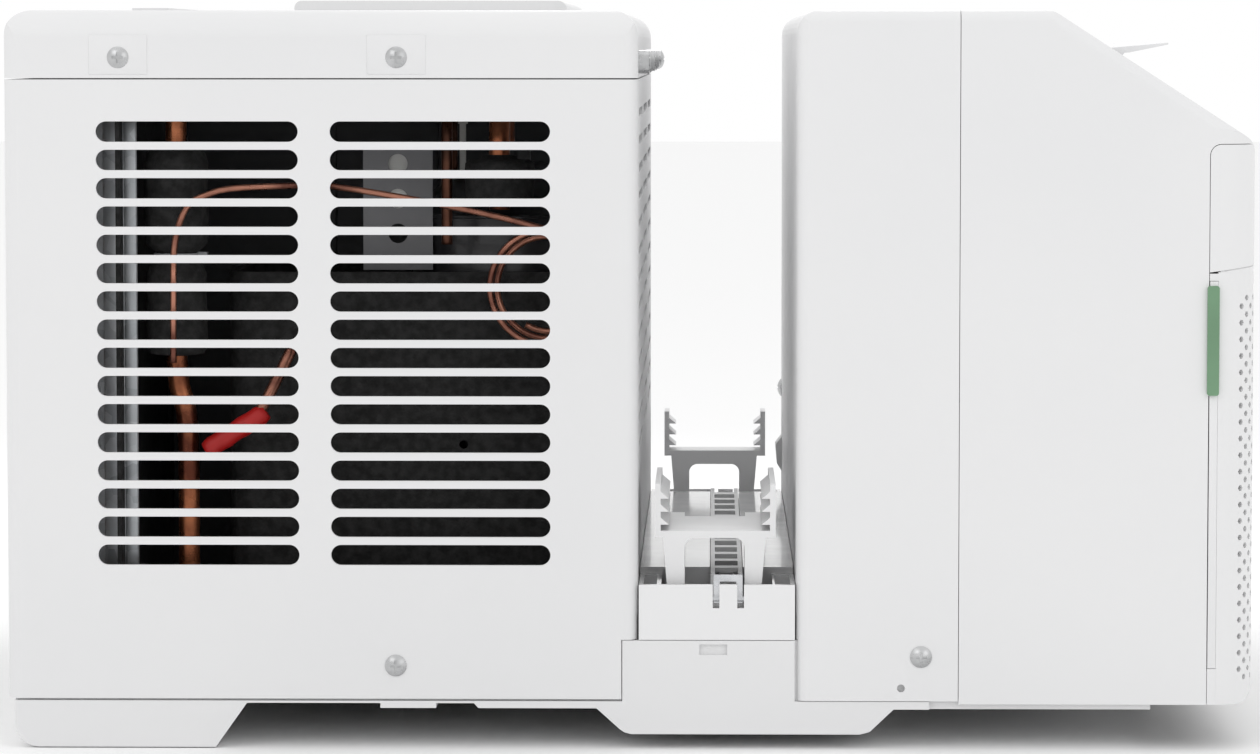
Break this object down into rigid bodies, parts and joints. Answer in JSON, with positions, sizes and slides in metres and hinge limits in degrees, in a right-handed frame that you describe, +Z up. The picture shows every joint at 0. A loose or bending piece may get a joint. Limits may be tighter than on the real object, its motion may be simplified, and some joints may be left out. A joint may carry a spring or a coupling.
{
  "type": "window air conditioner",
  "caption": "Saddle-shaped window air conditioner: a slotted outdoor section and an indoor section with a louvered outlet, joined by a low bridge that straddles the sill.",
  "frame": {"origin": "under the middle of the unit's box, level with the bottom of the outdoor foot", "axes": "+X from the outdoor end towards the room, +Y across the width, +Z up"},
  "size_m": [0.559, 0.4916, 0.335],
  "materials": {
    "shell_white": "satin moulded shell",
    "case_white": "fine grain",
    "pan_white": "fine grain",
    "deck_white": "glossy",
    "bracket_white": "satin",
    "galvanised": "spangled zinc",
    "fin_silver": "plain fins",
    "copper": "drawn copper, slightly tarnished",
    "foam_black": "closed-cell foam",
    "motor_black": "satin black",
    "inner_grey": "plain",
    "motor_grey": "satin",
    "mesh_grey": "woven nylon mesh",
    "tab_green": "satin",
    "sleeve_red": "heat-shrink sleeve",
    "screw_steel": "zinc plated",
    "latch_chrome": "bright",
    "board_green": "solder mask",
    "lens_dark": "smoked"
  },
  "bodies": {
    "chassis": {"base_pan": "pan_white", "drain_plug": "foam_black", "outdoor_casing": "case_white", "top_cover": "case_white", "rear_grille": "case_white", "condenser_coil": "fin_silver", "condenser_end_plates": "galvanised", "condenser_tubes": "copper", "fan_shroud": "foam_black", "fan_motor": "motor_grey", "motor_bracket": "galvanised", "compressor": "motor_black", "compressor_feet": "foam_black", "compressor_jacket": "foam_black", "pipe_insulation": "foam_black", "cable_tie": "inner_grey", "suction_pipe": "copper", "discharge_pipes": "copper", "capillary_tube": "copper", "red_sleeve": "sleeve_red", "pipe_bracket": "galvanised", "inverter_box": "galvanised", "casing_screws": "screw_steel", "bridge_cover": "deck_white", "bracket_rail": "bracket_white", "near_bracket": "bracket_white", "far_bracket": "bracket_white", "rear_shell": "shell_white", "front_shell": "shell_white", "front_panel": "shell_white", "front_grille": "shell_white", "evaporator_coil": "fin_silver", "evaporator_end_plates": "galvanised", "evaporator_tubes": "copper", "drain_pan": "foam_black", "blower_motor": "motor_grey", "air_scroll": "inner_grey", "control_panel": "shell_white", "display_lens": "lens_dark", "control_board": "board_green", "cord_gland": "motor_black", "shell_screws": "screw_steel"},
    "condenser_fan": {"condenser_fan": "motor_black"},
    "blower": {"blower_wheel": "motor_black"},
    "filter": {"filter_frame": "shell_white", "filter_mesh": "mesh_grey", "filter_tab": "tab_green"},
    "louver": {"louver_flap": "shell_white"},
    "vane_1": {"vane_1": "inner_grey"},
    "vane_2": {"vane_2": "inner_grey"},
    "vane_3": {"vane_3": "inner_grey"},
    "vane_4": {"vane_4": "inner_grey"},
    "vane_5": {"vane_5": "inner_grey"},
    "vane_link": {"vane_link": "inner_grey"},
    "latch": {"rail_latch": "latch_chrome"},
    "button_1": {"button_1": "shell_white"},
    "button_2": {"button_2": "shell_white"},
    "button_3": {"button_3": "shell_white"},
    "button_4": {"button_4": "shell_white"},
    "button_5": {"button_5": "shell_white"}
  },
  "joints": [
    {"name": "condenser_fan_spin", "type": "hinge", "parent": "chassis", "child": "condenser_fan", "pos_m": [-0.214, 0.07, 0.16], "axis": [1, 0, 0], "continuous": true},
    {"name": "blower_spin", "type": "hinge", "parent": "chassis", "child": "blower", "pos_m": [0.17504, 0, 0.20493], "axis": [0, 1, 0], "continuous": true},
    {"name": "filter_slide", "type": "slide", "parent": "chassis", "child": "filter", "axis": [0, -1, 0], "range_m": [0, 0.44]},
    {"name": "louver_tilt", "type": "hinge", "parent": "chassis", "child": "louver", "pos_m": [0.21226, 0, 0.30596], "axis": [0, -1, 0], "range_deg": [-38, 14]},
    {"name": "vane_1_swing", "type": "hinge", "parent": "chassis", "child": "vane_1", "pos_m": [0.19429, -0.16, 0.27828], "axis": [0.5446, 0, 0.8387], "range_deg": [-25, 25]},
    {"name": "vane_2_swing", "type": "hinge", "parent": "chassis", "child": "vane_2", "pos_m": [0.19429, -0.08, 0.27828], "axis": [0.5446, 0, 0.8387], "range_deg": [-25, 25]},
    {"name": "vane_3_swing", "type": "hinge", "parent": "chassis", "child": "vane_3", "pos_m": [0.19429, 0, 0.27828], "axis": [0.5446, 0, 0.8387], "range_deg": [-25, 25]},
    {"name": "vane_4_swing", "type": "hinge", "parent": "chassis", "child": "vane_4", "pos_m": [0.19429, 0.08, 0.27828], "axis": [0.5446, 0, 0.8387], "range_deg": [-25, 25]},
    {"name": "vane_5_swing", "type": "hinge", "parent": "chassis", "child": "vane_5", "pos_m": [0.19429, 0.16, 0.27828], "axis": [0.5446, 0, 0.8387], "range_deg": [-25, 25]},
    {"name": "vane_link_slide", "type": "slide", "parent": "chassis", "child": "vane_link", "axis": [0, 1, 0], "range_m": [-0.00523, 0.00523]},
    {"name": "latch_flip", "type": "hinge", "parent": "chassis", "child": "latch", "pos_m": [0.044, -0.2383, 0.0666], "axis": [-1, 0, 0], "range_deg": [0, 70]},
    {"name": "button_1_press", "type": "slide", "parent": "chassis", "child": "button_1", "axis": [-0.5446, 0, -0.8387], "range_m": [0, 0.0012], "stiffness_N_per_m": 300},
    {"name": "button_2_press", "type": "slide", "parent": "chassis", "child": "button_2", "axis": [-0.5446, 0, -0.8387], "range_m": [0, 0.0012], "stiffness_N_per_m": 300},
    {"name": "button_3_press", "type": "slide", "parent": "chassis", "child": "button_3", "axis": [-0.5446, 0, -0.8387], "range_m": [0, 0.0012], "stiffness_N_per_m": 300},
    {"name": "button_4_press", "type": "slide", "parent": "chassis", "child": "button_4", "axis": [-0.5446, 0, -0.8387], "range_m": [0, 0.0012], "stiffness_N_per_m": 300},
    {"name": "button_5_press", "type": "slide", "parent": "chassis", "child": "button_5", "axis": [-0.5446, 0, -0.8387], "range_m": [0, 0.0012], "stiffness_N_per_m": 300}
  ],
  "couplings": [
    {"joint": "vane_1_swing", "follows": "vane_link_slide", "rad_per_m": 83.333},
    {"joint": "vane_2_swing", "follows": "vane_link_slide", "rad_per_m": 83.333},
    {"joint": "vane_3_swing", "follows": "vane_link_slide", "rad_per_m": 83.333},
    {"joint": "vane_4_swing", "follows": "vane_link_slide", "rad_per_m": 83.333},
    {"joint": "vane_5_swing", "follows": "vane_link_slide", "rad_per_m": 83.333}
  ]
}
